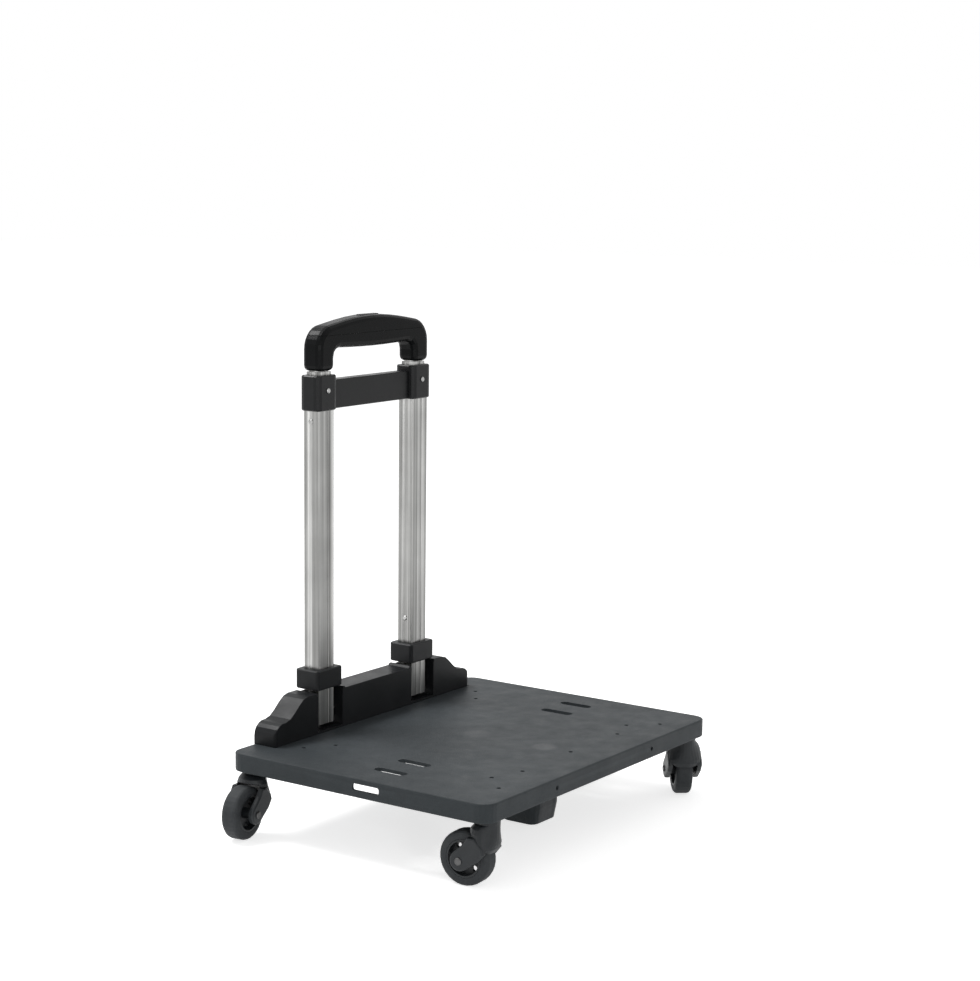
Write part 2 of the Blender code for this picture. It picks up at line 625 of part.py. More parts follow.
def fork_hood_levels():
    """The hood from its lower edge up to the neck: front and rear reach, half width, front taper and height."""
    sizes = (
        (NECK_RADIUS * 0.50, NECK_RADIUS * 0.52, FORK_HALF_WIDTH * 0.80, 0.0, 0.31),
        (NECK_RADIUS * 0.82, NECK_RADIUS * 0.86, FORK_HALF_WIDTH * 0.91, 0.0, 0.48),
        (NECK_RADIUS * 0.94, HOOD_REAR * 0.70, FORK_HALF_WIDTH * 0.965, 0.05, 0.63),
        (NECK_RADIUS * 0.99, HOOD_REAR * 0.90, FORK_HALF_WIDTH * 0.955, 0.20, 0.82),
        (NECK_RADIUS, HOOD_REAR, (FORK_HALF_WIDTH + HOOD_TOP_HALF_WIDTH) / 2, 0.28, 1.02),
        (NECK_RADIUS, HOOD_REAR * 0.97, HOOD_TOP_HALF_WIDTH, 0.25, 1.18),
        (NECK_RADIUS, HOOD_REAR * 0.80, HOOD_TOP_HALF_WIDTH * 0.86, 0.12, 1.29),
        (NECK_RADIUS, NECK_RADIUS * 1.06, NECK_RADIUS * 1.04, 0.0, 1.35),
    )
    circle = arc((0.0, 0.0), 1.0, 0, 345, 23)
    levels = []
    for front, rear, half_width, taper, share in sizes:
        middle = (rear - front) / 2
        half = (rear + front) / 2
        outline = [(middle + x * half, y * half_width * (1 + taper * min(x, 0.0))) for x, y in circle]
        levels.append((outline, AXLE_Z + WHEEL_RADIUS * share))
    return levels + [([(x * NECK_RADIUS, y * NECK_RADIUS) for x, y in circle], NECK_TOP_Z)]


def caster_meshes(plastic, rubber, steel):
    """The meshes shared by the four casters, drawn about the stem's axis with the wheel trailing towards +X."""
    axle = (CASTER_TRAIL, 0.0, AXLE_Z)
    rim_radius = WHEEL_RADIUS - TYRE_THICKNESS

    fork = add_piece("caster_fork", prism(caster_fork_outline(), -FORK_HALF_WIDTH, FORK_HALF_WIDTH, "XZ"), plastic)
    round_edges(fork, FORK_LEG * 0.36, 2, 60.0)
    combine(fork, loft(fork_hood_levels()), "UNION", "fork_hood")
    wheel_space = rod(
        WHEEL_RADIUS + FORK_WHEEL_GAP, -FORK_INSIDE, FORK_INSIDE, "Y", axle, WHEEL_SEGMENTS
    )
    combine(fork, wheel_space, "DIFFERENCE", "fork_wheel_space")
    through = FORK_HALF_WIDTH + CUT_MARGIN
    bores = rod(AXLE_RADIUS + FIT_GAP, -through, through, "Y", axle, SMALL_SEGMENTS)
    stem_bottom = NECK_TOP_Z - STEM_DEPTH_IN_NECK
    rod(STEM_RADIUS + FIT_GAP, stem_bottom - FIT_GAP, NECK_TOP_Z + CUT_MARGIN, "Z", (0.0, 0.0, 0.0), SMALL_SEGMENTS, bores)
    combine(fork, bores, "DIFFERENCE", "fork_bores")

    head_low = PLATE_BOTTOM_Z - 2 * FIT_GAP - STEM_HEAD_HEIGHT
    head_high = PLATE_BOTTOM_Z - 2 * FIT_GAP
    stem = add_piece(
        "caster_stem",
        revolve(
            [
                (0.0, stem_bottom),
                (STEM_RADIUS, stem_bottom),
                (STEM_RADIUS, head_low),
                (STEM_HEAD_RADIUS, head_low),
                (STEM_HEAD_RADIUS, head_high),
                (0.0, head_high),
            ],
            SMALL_SEGMENTS,
        ),
        steel,
    )
    socket = add_piece(
        "caster_socket",
        revolve(
            [
                (STEM_RADIUS + FIT_GAP, SOCKET_BOTTOM_Z),
                (SOCKET_RADIUS, SOCKET_BOTTOM_Z),
                (SOCKET_RADIUS, PLATE_BOTTOM_Z - FIT_GAP),
                (STEM_HEAD_RADIUS + FIT_GAP, PLATE_BOTTOM_Z - FIT_GAP),
                (STEM_HEAD_RADIUS + FIT_GAP, head_low - FIT_GAP),
                (STEM_RADIUS + FIT_GAP, head_low - FIT_GAP),
            ],
            ROUND_SEGMENTS,
        ),
        plastic,
    )

    half = TYRE_WIDTH / 2
    tyre_profile = [(rim_radius, -half), (WHEEL_RADIUS - TYRE_ROUND, -half)]
    tyre_profile += [(y, x) for x, y in tyre_shoulder(-1)] + [(y, x) for x, y in reversed(tyre_shoulder(1))]
    tyre_profile += [(WHEEL_RADIUS - TYRE_ROUND, half), (rim_radius, half)]
    tyre = add_piece("caster_tyre", revolve(tyre_profile, WHEEL_SEGMENTS, "Y"), rubber)
    hub = add_piece("caster_hub", hub_shape(rim_radius - FIT_GAP), plastic)
    holes = bmesh.new()
    hole_circle = rim_radius - FIT_GAP - HUB_RIM - HUB_HOLE_RADIUS * 1.1
    for index in range(HUB_HOLES):
        angle = 2 * math.pi * index / HUB_HOLES
        place = (hole_circle * math.cos(angle), 0.0, hole_circle * math.sin(angle))
        rod(HUB_HOLE_RADIUS, -TYRE_WIDTH, TYRE_WIDTH, "Y", place, HUB_HOLE_SEGMENTS, holes)
    combine(hub, holes, "DIFFERENCE", "hub_holes")

    head_seat = FORK_HALF_WIDTH + FIT_GAP
    reach = head_seat + AXLE_HEAD_HEIGHT
    axle_pin = add_piece(
        "caster_axle",
        revolve(
            [
                (0.0, -reach),
                (AXLE_HEAD_RADIUS * 0.8, -reach),
                (AXLE_HEAD_RADIUS, -head_seat - AXLE_HEAD_HEIGHT * 0.4),
                (AXLE_HEAD_RADIUS, -head_seat),
                (AXLE_RADIUS, -head_seat),
                (AXLE_RADIUS, head_seat),
                (AXLE_HEAD_RADIUS, head_seat),
                (AXLE_HEAD_RADIUS, head_seat + AXLE_HEAD_HEIGHT * 0.4),
                (AXLE_HEAD_RADIUS * 0.8, reach),
                (0.0, reach),
            ],
            SMALL_SEGMENTS,
            "Y",
            axle,
        ),
        steel,
    )
    pieces = {"fork": fork, "stem": stem, "socket": socket, "tyre": tyre, "hub": hub, "axle": axle_pin}
    return {name: finished_mesh(piece) for name, piece in pieces.items()}


def tyre_shoulder(side):
    """Points round one shoulder of the tyre, from its side towards the middle of its tread."""
    half = TYRE_WIDTH / 2 - TYRE_ROUND
    points = arc((half, WHEEL_RADIUS - TYRE_ROUND), TYRE_ROUND, 30, 90, 2)
    return [(side * x, y) for x, y in points]


def hub_shape(radius):
    """The wheel's centre: a rim, a web with room for holes, and a boss round the axle."""
    half = TYRE_WIDTH / 2
    web = HUB_WEB / 2
    inner = radius - HUB_RIM
    bore = AXLE_RADIUS + FIT_GAP
    boss_half = FORK_INSIDE - HUB_SIDE_GAP
    side = [(bore, boss_half), (HUB_BOSS_RADIUS, boss_half), (HUB_BOSS_RADIUS, web), (inner, web), (inner, half)]
    side += [(radius, half)]
    profile = side + [(r, -h) for r, h in reversed(side)]
    return revolve(profile, ROUND_SEGMENTS, "Y")


def build_casters(plastic, rubber, steel):
    meshes = caster_meshes(plastic, rubber, steel)
    for name, (x, y) in caster_places().items():
        fixed = make_anchor(f"caster_mount_{name}", (x, y, 0.0))
        turn = math.radians(CASTER_TRAIL_ANGLES[name])
        swivel = make_anchor(f"caster_swivel_{name}", (x, y, 0.0), turn=turn)
        axle = make_anchor(f"caster_wheel_{name}", (CASTER_TRAIL, 0.0, AXLE_Z), swivel)
        axle.rotation_euler.y = -math.radians(WHEEL_TURNS[name])
        add_copy(f"caster_socket_{name}", meshes["socket"], fixed)
        add_copy(f"caster_stem_{name}", meshes["stem"], swivel)
        add_copy(f"caster_fork_{name}", meshes["fork"], swivel)
        add_copy(f"caster_axle_{name}", meshes["axle"], swivel)
        add_copy(f"caster_hub_{name}", meshes["hub"], axle)
        add_copy(f"caster_tyre_{name}", meshes["tyre"], axle)


def bracket_front_outline():
    """Front view of the base bracket: a raised middle, and a wing that steps down to each end."""
    end_centre = (BRACKET_HALF_WIDTH - BRACKET_END_RADIUS, BRACKET_SHOULDER_Z - BRACKET_END_RADIUS)
    right = [(BRACKET_HALF_WIDTH, BRACKET_BOTTOM_Z)]
    right += arc(end_centre, BRACKET_END_RADIUS, 0, 80, 4)
    slope_start = CHANNEL_WALL_X + BRACKET_SLOPE_FROM_CHANNEL
    run = BRACKET_HALF_WIDTH - BRACKET_SLOPE_FROM_END - slope_start
    rise = BRACKET_TOP_Z - BRACKET_SHOULDER_Z
    for step in range(5, -1, -1):
        share = step / 5
        eased = (1 - math.cos(math.pi * share)) / 2
        right.append((slope_start + run * share, BRACKET_TOP_Z - rise * eased))
    bar_edge = TUBE_CENTRE_X - CHANNEL_HALF_WIDTH - BRACKET_WALL
    right.append((bar_edge, BRACKET_TOP_Z))
    right.append((bar_edge - (BRACKET_TOP_Z - BRACKET_BAR_TOP_Z), BRACKET_BAR_TOP_Z))
    return right + [(-x, z) for x, z in reversed(right)]


def bracket_plan_outline():
    """Plan of the base bracket: square at the rear edge, with rounded front corners."""
    radius = BRACKET_PLAN_RADIUS
    front = BRACKET_FRONT_Y
    corner_x = BRACKET_HALF_WIDTH - BRACKET_PLAN_TAPER - radius
    right = [(BRACKET_HALF_WIDTH, DECK_HALF_DEPTH)]
    right += list(reversed(arc((corner_x, front + radius), radius, -90, 10, 5)))
    left = [(-x, y) for x, y in reversed(right)]
    return right + left


def build_bracket(plastic):
    """The bracket that carries the handle tubes: two channels open to the front, hollow behind."""
    bracket = add_piece(
        "base_bracket",
        prism(bracket_front_outline(), BRACKET_FRONT_Y - CUT_MARGIN, DECK_HALF_DEPTH, "XZ"),
        plastic,
    )
    plan = prism(bracket_plan_outline(), -CUT_MARGIN, BRACKET_TOP_Z + CUT_MARGIN)
    combine(bracket, plan, "INTERSECT", "bracket_plan")
    round_edges(bracket, 0.0015, 1, 55.0)

    cuts = bmesh.new()
    base = BRACKET_BOTTOM_Z + BRACKET_BASE
    wall_y = TUBE_REAR_Y + FIT_GAP
    above = BRACKET_TOP_Z + CUT_MARGIN
    behind = DECK_HALF_DEPTH + CUT_MARGIN
    for sign in SIDES.values():
        x = sign * TUBE_CENTRE_X
        block(
            (x - CHANNEL_HALF_WIDTH, BRACKET_FRONT_Y - CUT_MARGIN, base),
            (x + CHANNEL_HALF_WIDTH, wall_y, above),
            cuts,
        )
    combine(bracket, cuts, "DIFFERENCE", "bracket_channels")

    windows = bmesh.new()
    window_half = OUTER_TUBE_WIDTH / 2 + FIT_GAP
    for sign in SIDES.values():
        x = sign * TUBE_CENTRE_X
        block(
            (x - window_half, wall_y - CUT_MARGIN / 2, base),
            (x + window_half, behind, PIVOT_Z + REAR_WINDOW_ABOVE_PIVOT),
            windows,
        )
    combine(bracket, windows, "DIFFERENCE", "bracket_rear_windows")

    pockets = bmesh.new()
    front = BRACKET_FRONT_Y + BRACKET_WALL
    bar_end = TUBE_CENTRE_X - CHANNEL_HALF_WIDTH - CHANNEL_SIDE_WALL
    web = BRACKET_SCREW_INNER_X
    bar_top = BRACKET_BAR_TOP_Z - BRACKET_WALL
    block((BRACKET_WEB_HALF - web, front, base), (web - BRACKET_WEB_HALF, behind, bar_top), pockets)
    wing_start = CHANNEL_WALL_X
    wing_end = BRACKET_SCREW_OUTER_X - BRACKET_WEB_HALF * 1.2
    for sign in SIDES.values():
        low_x, high_x = sorted((sign * (web + BRACKET_WEB_HALF), sign * bar_end))
        block((low_x, front, base), (high_x, behind, bar_top), pockets)
        low_x, high_x = sorted((sign * wing_start, sign * wing_end))
        block((low_x, front, base), (high_x, behind, BRACKET_SHOULDER_Z - BRACKET_WALL * 1.6), pockets)
    combine(bracket, pockets, "DIFFERENCE", "bracket_pockets")

    bores = bmesh.new()
    reach = CHANNEL_HALF_WIDTH + CHANNEL_SIDE_WALL + CUT_MARGIN / 4
    for sign in SIDES.values():
        place = (sign * TUBE_CENTRE_X, TUBE_Y, PIVOT_Z)
        rod(PIVOT_PIN_RADIUS + FIT_GAP, -reach, reach, "X", place, ROUND_SEGMENTS, bores)
    for x, y in bracket_screw_places():
        rod(SCREW_RADIUS + FIT_GAP, -CUT_MARGIN, SCREW_REACH, "Z", (x, y, 0.0), SMALL_SEGMENTS, bores)
    combine(bracket, bores, "DIFFERENCE", "bracket_bores")

    combine(bracket, tower_top_cutter(), "DIFFERENCE", "bracket_tower_tops")
    return bracket


def tower_top_cutter():
    """Rounds the bracket beside each channel to an arc about the pivot, so that a lowered collar swings clear."""
    radius = COLLAR_BOTTOM_Z - PIVOT_Z - 2 * FIT_GAP
    half = COLLAR_WIDTH / 2 + SLIDE_GAP
    reach = OUTER_TUBE_DEPTH * 1.2
    outline = arc((TUBE_Y, PIVOT_Z), radius, 150, 30, 8)
    outline += [(TUBE_Y + reach + radius, PIVOT_Z + radius / 2), (TUBE_Y + reach + radius, COLLAR_TOP_Z)]
    outline += [(TUBE_Y - reach - radius, COLLAR_TOP_Z), (TUBE_Y - reach - radius, PIVOT_Z + radius / 2)]
    cutter = bmesh.new()
    for sign in SIDES.values():
        x = sign * TUBE_CENTRE_X
        prism(outline, x - half, x + half, "YZ", cutter)
    return cutter


def build_bracket_screws(steel):
    head_z = PLATE_BOTTOM_Z - FIT_GAP
    for index, (x, y) in enumerate(bracket_screw_places(), start=1):
        reach = SCREW_REACH - FIT_GAP - head_z
        screw = headed_pin(SCREW_RADIUS, SCREW_HEAD_RADIUS, SCREW_HEAD_HEIGHT, reach, "Z", (x, y, head_z), 1)
        add_piece(f"bracket_screw_{index}", screw, steel)


def tube_shape(width, depth, wall, flute, low, high, x):
    centre = (x, TUBE_Y)
    outer = fluted_rectangle(width, depth, TUBE_CORNER_RADIUS, flute, centre)
    inner = fluted_rectangle(width - 2 * wall, depth - 2 * wall, TUBE_CORNER_RADIUS / 2, flute, centre)
    return hollow_prism(outer, inner, low, high)


def plug_shape(width, depth, low, high, x, inset, spigot_top=None, spigot=(0.0, 0.0)):
    """A plug in a fluted tube: a block, and if asked a narrower spigot above it."""
    centre = (x, TUBE_Y)
    wide = rounded_rectangle(width - 2 * inset, depth - 2 * inset, TUBE_CORNER_RADIUS / 2, centre, 1)
    levels = [(wide, low), (wide, high)]
    if spigot_top is not None:
        narrow = rounded_rectangle(spigot[0] - 2 * inset, spigot[1] - 2 * inset, TUBE_CORNER_RADIUS / 2, centre, 1)
        levels += [(narrow, high), (narrow, spigot_top)]
    return loft(levels)


def build_outer_stage(side, sign, metal, plastic, steel, fold):
    """Everything that folds with one outer tube and doesn't slide."""
    x = sign * TUBE_CENTRE_X
    tube = add_piece(
        f"outer_tube_{side}",
        tube_shape(
            OUTER_TUBE_WIDTH, OUTER_TUBE_DEPTH, OUTER_TUBE_WALL, OUTER_FLUTE_DEPTH,
            OUTER_TUBE_BOTTOM_Z, OUTER_TUBE_TOP_Z, x,
        ),
        metal,
        fold,
    )
    holes = rod(
        PIVOT_PIN_RADIUS + FIT_GAP, -OUTER_TUBE_WIDTH, OUTER_TUBE_WIDTH, "X", (x, TUBE_Y, PIVOT_Z), ROUND_SEGMENTS
    )
    rivet_hole = RIVET_SHANK_RADIUS + FIT_GAP
    wall_reach = OUTER_TUBE_WALL * 2
    for place, axis in rivet_places(sign).values():
        rod(rivet_hole, -wall_reach, wall_reach, axis, place, SMALL_SEGMENTS, holes)
    combine(tube, holes, "DIFFERENCE", f"outer_tube_holes_{side}")

    bore_width = OUTER_TUBE_WIDTH - 2 * OUTER_TUBE_WALL - 2 * OUTER_FLUTE_DEPTH
    bore_depth = OUTER_TUBE_DEPTH - 2 * OUTER_TUBE_WALL - 2 * OUTER_FLUTE_DEPTH
    foot = add_piece(
        f"tube_foot_{side}",
        plug_shape(bore_width, bore_depth, OUTER_TUBE_BOTTOM_Z, TUBE_FOOT_TOP_Z, x, FIT_GAP),
        plastic,
        fold,
    )
    pin_hole = rod(
        PIVOT_PIN_RADIUS + FIT_GAP, -OUTER_TUBE_WIDTH, OUTER_TUBE_WIDTH, "X", (x, TUBE_Y, PIVOT_Z), ROUND_SEGMENTS
    )
    combine(foot, pin_hole, "DIFFERENCE", f"tube_foot_bore_{side}")

    shank = OUTER_TUBE_WALL
    stop_place, _ = rivet_places(sign)["collar_stop"]
    guide_place, _ = rivet_places(sign)["guide_rivet"]
    for name, place, way in (("collar_stop", stop_place, sign), ("guide_rivet", guide_place, -sign)):
        rivet = headed_pin(RIVET_SHANK_RADIUS, RIVET_RADIUS, RIVET_HEAD_HEIGHT, shank, "X", place, way)
        add_piece(f"{name}_{side}", rivet, steel, fold)


def rivet_places(sign):
    """Where the head of each rivet in an outer tube seats, with the rivet's axis."""
    x = sign * TUBE_CENTRE_X
    side_x = OUTER_TUBE_WIDTH / 2 - OUTER_FLUTE_DEPTH + FIT_GAP
    front_y = TUBE_Y - LATCH_BLOCK_DEPTH / 2 - FIT_GAP
    return {
        "collar_stop": ((x - sign * side_x, TUBE_Y, COLLAR_STOP_Z), "X"),
        "guide_rivet": ((x + sign * side_x, TUBE_Y, GUIDE_RIVET_Z), "X"),
        "latch_rivet": ((x, front_y + (LATCH_BLOCK_DEPTH - OUTER_TUBE_DEPTH) / 2, LATCH_RIVET_Z), "Y"),
    }


def build_collar(side, sign, plastic, anchor):
    x = sign * TUBE_CENTRE_X
    shape = rounded_block(
        COLLAR_WIDTH, COLLAR_DEPTH, COLLAR_CORNER_RADIUS, (x, TUBE_Y), COLLAR_BOTTOM_Z, COLLAR_TOP_Z, EDGE_SLOPE
    )
    collar = add_piece(f"lock_collar_{side}", shape, plastic, anchor)
    opening = rounded_rectangle(
        OUTER_TUBE_WIDTH + 2 * FIT_GAP, OUTER_TUBE_DEPTH + 2 * FIT_GAP, TUBE_CORNER_RADIUS, (x, TUBE_Y), 2
    )
    hole = prism(opening, COLLAR_BOTTOM_Z - CUT_MARGIN, COLLAR_TOP_Z + CUT_MARGIN)
    combine(collar, hole, "DIFFERENCE", f"lock_collar_hole_{side}")


def build_latch_housing(plastic, steel, fold):
    """The housing that caps both outer tubes and joins them with a bar."""
    shape = bmesh.new()
    x = TUBE_CENTRE_X
    blocks = []
    for sign in SIDES.values():
        end = rounded_block(
            LATCH_BLOCK_WIDTH, LATCH_BLOCK_DEPTH, LATCH_CORNER_RADIUS, (sign * x, TUBE_Y),
            LATCH_BOTTOM_Z, LATCH_TOP_Z, EDGE_SLOPE,
        )
        blocks.append(end)
    front = TUBE_Y - LATCH_BLOCK_DEPTH / 2 + LATCH_BAR_RECESS
    reach = x - LATCH_BLOCK_WIDTH / 2 + LATCH_CORNER_RADIUS
    block(
        (-reach, front, LATCH_BOTTOM_Z + LATCH_BAR_LIFT),
        (reach, front + LATCH_BAR_DEPTH, LATCH_TOP_Z - LATCH_BAR_DROP),
        shape,
    )
    housing = add_piece("latch_housing", shape, plastic, fold)
    round_edges(housing, EDGE_SLOPE, 2, 60.0)
    for index, end in enumerate(blocks):
        combine(housing, end, "UNION", f"latch_block_{index}")
    openings = bmesh.new()
    for sign in SIDES.values():
        centre = (sign * x, TUBE_Y)
        pocket = rounded_rectangle(
            OUTER_TUBE_WIDTH + 2 * FIT_GAP, OUTER_TUBE_DEPTH + 2 * FIT_GAP, TUBE_CORNER_RADIUS, centre, 2
        )
        prism(pocket, LATCH_BOTTOM_Z - CUT_MARGIN, LATCH_TOP_Z - LATCH_TOP_PLATE, "XY", openings)
    combine(housing, openings, "DIFFERENCE", "latch_tube_pockets")
    mouths = bmesh.new()
    for sign in SIDES.values():
        mouth = rounded_rectangle(
            MIDDLE_TUBE_WIDTH + SLIDE_GAP, MIDDLE_TUBE_DEPTH + SLIDE_GAP, TUBE_CORNER_RADIUS, (sign * x, TUBE_Y), 2
        )
        prism(mouth, LATCH_TOP_Z - LATCH_TOP_PLATE - CUT_MARGIN / 2, LATCH_TOP_Z + CUT_MARGIN, "XY", mouths)
        place, axis = rivet_places(sign)["latch_rivet"]
        rod(RIVET_SHANK_RADIUS + FIT_GAP, -CUT_MARGIN, CUT_MARGIN / 4, axis, place, SMALL_SEGMENTS, mouths)
    combine(housing, mouths, "DIFFERENCE", "latch_mouths")

    for side, sign in SIDES.items():
        head_y = TUBE_Y - LATCH_BLOCK_DEPTH / 2 - FIT_GAP
        shank = (LATCH_BLOCK_DEPTH - OUTER_TUBE_DEPTH) / 2 + OUTER_TUBE_WALL + OUTER_FLUTE_DEPTH + FIT_GAP
        place = (sign * x, head_y, LATCH_RIVET_Z)
        rivet = headed_pin(RIVET_SHANK_RADIUS, RIVET_RADIUS, RIVET_HEAD_HEIGHT, shank, "Y", place, 1)
        add_piece(f"latch_rivet_{side}", rivet, steel, fold)


def build_middle_stage(side, sign, metal, plastic, anchor):
    x = sign * TUBE_CENTRE_X
    add_piece(
        f"middle_tube_{side}",
        tube_shape(
            MIDDLE_TUBE_WIDTH, MIDDLE_TUBE_DEPTH, INNER_TUBE_WALL, INNER_FLUTE_DEPTH,
            MIDDLE_TUBE_BOTTOM_Z, MIDDLE_TUBE_TOP_Z, x,
        ),
        metal,
        anchor,
    )
    width = OUTER_TUBE_WIDTH - 2 * OUTER_TUBE_WALL - 2 * OUTER_FLUTE_DEPTH
    depth = OUTER_TUBE_DEPTH - 2 * OUTER_TUBE_WALL - 2 * OUTER_FLUTE_DEPTH
    bore = (
        MIDDLE_TUBE_WIDTH - 2 * INNER_TUBE_WALL - 2 * INNER_FLUTE_DEPTH,
        MIDDLE_TUBE_DEPTH - 2 * INNER_TUBE_WALL - 2 * INNER_FLUTE_DEPTH,
    )
    top = MIDDLE_TUBE_BOTTOM_Z - FIT_GAP
    foot = plug_shape(width, depth, MIDDLE_FOOT_Z, top, x, FIT_GAP, MIDDLE_TUBE_BOTTOM_Z + STAGE_FOOT_SPIGOT, bore)
    add_piece(f"middle_foot_{side}", foot, plastic, anchor)


def build_inner_stage(side, sign, metal, plastic, anchor):
    x = sign * TUBE_CENTRE_X
    add_piece(
        f"inner_tube_{side}",
        tube_shape(
            INNER_TUBE_WIDTH, INNER_TUBE_DEPTH, INNER_TUBE_WALL, INNER_FLUTE_DEPTH,
            INNER_TUBE_BOTTOM_Z, INNER_TUBE_TOP_Z, x,
        ),
        metal,
        anchor,
    )
    width = MIDDLE_TUBE_WIDTH - 2 * INNER_TUBE_WALL - 2 * INNER_FLUTE_DEPTH
    depth = MIDDLE_TUBE_DEPTH - 2 * INNER_TUBE_WALL - 2 * INNER_FLUTE_DEPTH
    bore = (
        INNER_TUBE_WIDTH - 2 * INNER_TUBE_WALL - 2 * INNER_FLUTE_DEPTH,
        INNER_TUBE_DEPTH - 2 * INNER_TUBE_WALL - 2 * INNER_FLUTE_DEPTH,
    )
    top = INNER_TUBE_BOTTOM_Z - FIT_GAP
    foot = plug_shape(width, depth, INNER_FOOT_Z, top, x, FIT_GAP, INNER_TUBE_BOTTOM_Z + STAGE_FOOT_SPIGOT, bore)
    add_piece(f"inner_foot_{side}", foot, plastic, anchor)


def handle_outline():
    """Front view of the handle: a crowned bar on two legs."""
    radius = HANDLE_SHOULDER_RADIUS
    inner_x = HANDLE_HALF_WIDTH - HANDLE_LEG_WIDTH
    shoulder = (HANDLE_HALF_WIDTH - radius, HANDLE_SHOULDER_Z - radius)
    right = [(inner_x, HANDLE_BOTTOM_Z), (HANDLE_HALF_WIDTH, HANDLE_BOTTOM_Z)]
    right += arc(shoulder, radius, 0, 75, 6)
    top_start = right[-1]
    for step in range(1, 5):
        share = step / 5
        x = top_start[0] * (1 - share)
        rise = math.sin(math.pi / 2 * share)
        right.append((x, top_start[1] + (HANDLE_TOP_Z - top_start[1]) * rise))
    middle = [(0.0, HANDLE_TOP_Z)]
    left = [(-x, z) for x, z in reversed(right)]
    corner = HANDLE_INNER_RADIUS
    under_left = arc((-inner_x + corner, GRIP_BOTTOM_Z - corner), corner, 180, 90, 3)
    under_right = arc((inner_x - corner, GRIP_BOTTOM_Z - corner), corner, 90, 0, 3)
    under = []
    for step in range(1, 6):
        share = step / 3 - 1
        under.append((share * (inner_x - corner), GRIP_BOTTOM_Z - GRIP_SAG * math.cos(math.pi / 2 * share)))
    return right + middle + left + under_left + under + under_right


def build_handle(plastic, steel, anchor, release):
    """The handle's body with its legs, its top cover, and the release button with its yoke and push rods."""
    outline = handle_outline()
    half = HANDLE_DEPTH / 2
    margin = CUT_MARGIN * 2
    reach = HANDLE_HALF_WIDTH + margin
    pieces = {}
    for name, low, high in (
        ("handle_body", HANDLE_BOTTOM_Z - margin, HANDLE_SPLIT_Z - FIT_GAP / 2),
        ("grip_cover", HANDLE_SPLIT_Z + FIT_GAP / 2, HANDLE_TOP_Z + margin),
    ):
        piece = add_piece(name, prism(outline, TUBE_Y - half, TUBE_Y + half, "XZ"), plastic, anchor)
        round_edges(piece, HANDLE_EDGE_ROUND, 3, 60.0)
        keep = block((-reach, TUBE_Y - margin * 2, low), (reach, TUBE_Y + margin * 2, high))
        combine(piece, keep, "INTERSECT", f"{name}_half")
        pieces[name] = piece

    space_half = YOKE_SPACE_DEPTH / 2
    for name, piece in pieces.items():
        outline = yoke_outline(SLIDE_GAP, BUTTON_TRAVEL + SLIDE_GAP, YOKE_BOTTOM_Z - YOKE_SPACE_BOTTOM_Z)
        space = prism(outline, TUBE_Y - space_half, TUBE_Y + space_half, "XZ")
        combine(piece, space, "DIFFERENCE", f"{name}_yoke_space")
    slot = rounded_rectangle(
        BUTTON_LENGTH + 2 * FIT_GAP, BUTTON_WIDTH + 2 * FIT_GAP, BUTTON_WIDTH * 0.4, (0.0, TUBE_Y), 3
    )
    slot_cut = prism(slot, YOKE_SPACE_TOP_Z - CUT_MARGIN / 2, HANDLE_TOP_Z + margin)
    combine(pieces["grip_cover"], slot_cut, "DIFFERENCE", "grip_button_slot")
    sockets = bmesh.new()
    rod_holes = bmesh.new()
    for sign in SIDES.values():
        centre = (sign * TUBE_CENTRE_X, TUBE_Y)
        socket = rounded_rectangle(
            INNER_TUBE_WIDTH + 2 * FIT_GAP, INNER_TUBE_DEPTH + 2 * FIT_GAP, TUBE_CORNER_RADIUS / 2, centre, 2
        )
        prism(socket, HANDLE_BOTTOM_Z - margin, INNER_TUBE_TOP_Z + FIT_GAP, "XY", sockets)
        rod(
            PUSH_ROD_RADIUS + SLIDE_GAP, INNER_TUBE_TOP_Z - CUT_MARGIN / 2, HANDLE_SPLIT_Z,
            "Z", (centre[0], centre[1], 0.0), SMALL_SEGMENTS, rod_holes,
        )
    combine(pieces["handle_body"], sockets, "DIFFERENCE", "handle_tube_sockets")
    combine(pieces["handle_body"], rod_holes, "DIFFERENCE", "handle_rod_holes")

    button = rounded_block(
        BUTTON_LENGTH, BUTTON_WIDTH, BUTTON_WIDTH * 0.4, (0.0, TUBE_Y),
        YOKE_TOP_Z + FIT_GAP, HANDLE_TOP_Z + BUTTON_PROUD, EDGE_SLOPE,
    )
    add_piece("release_button", button, plastic, release)
    yoke_half = YOKE_THICKNESS / 2
    yoke = prism(yoke_outline(0.0, 0.0, 0.0), TUBE_Y - yoke_half, TUBE_Y + yoke_half, "XZ")
    add_piece("release_yoke", yoke, plastic, release)
    for side, sign in SIDES.items():
        place = (sign * TUBE_CENTRE_X, TUBE_Y, 0.0)
        push_rod = rod(PUSH_ROD_RADIUS, PUSH_ROD_BOTTOM_Z, YOKE_BOTTOM_Z - YOKE_END_DROP - FIT_GAP, "Z", place)
        add_piece(f"push_rod_{side}", push_rod, steel, release)
    build_spring(steel, anchor)


def yoke_outline(grow, below_ends, below_middle):
    """Front view of the yoke, or of the space round it: its middle is higher, and its ends sit over the legs."""
    end = TUBE_CENTRE_X + PUSH_ROD_RADIUS * 2 + grow
    slope_out = end - YOKE_END_LENGTH
    slope_in = slope_out - YOKE_END_DROP
    high = YOKE_TOP_Z + grow
    low = YOKE_BOTTOM_Z - below_middle
    end_high = high - YOKE_END_DROP
    end_low = YOKE_BOTTOM_Z - YOKE_END_DROP - below_ends
    inset = slope_out - grow * 3
    right = [(slope_in - grow, YOKE_BOTTOM_Z), (inset, end_low), (end, end_low), (end, end_high)]
    if below_middle:
        right[0] = (inset, low)
    right += [(slope_out + grow, end_high), (slope_in + grow, high)]
    return right + [(-x, z) for x, z in reversed(right)]


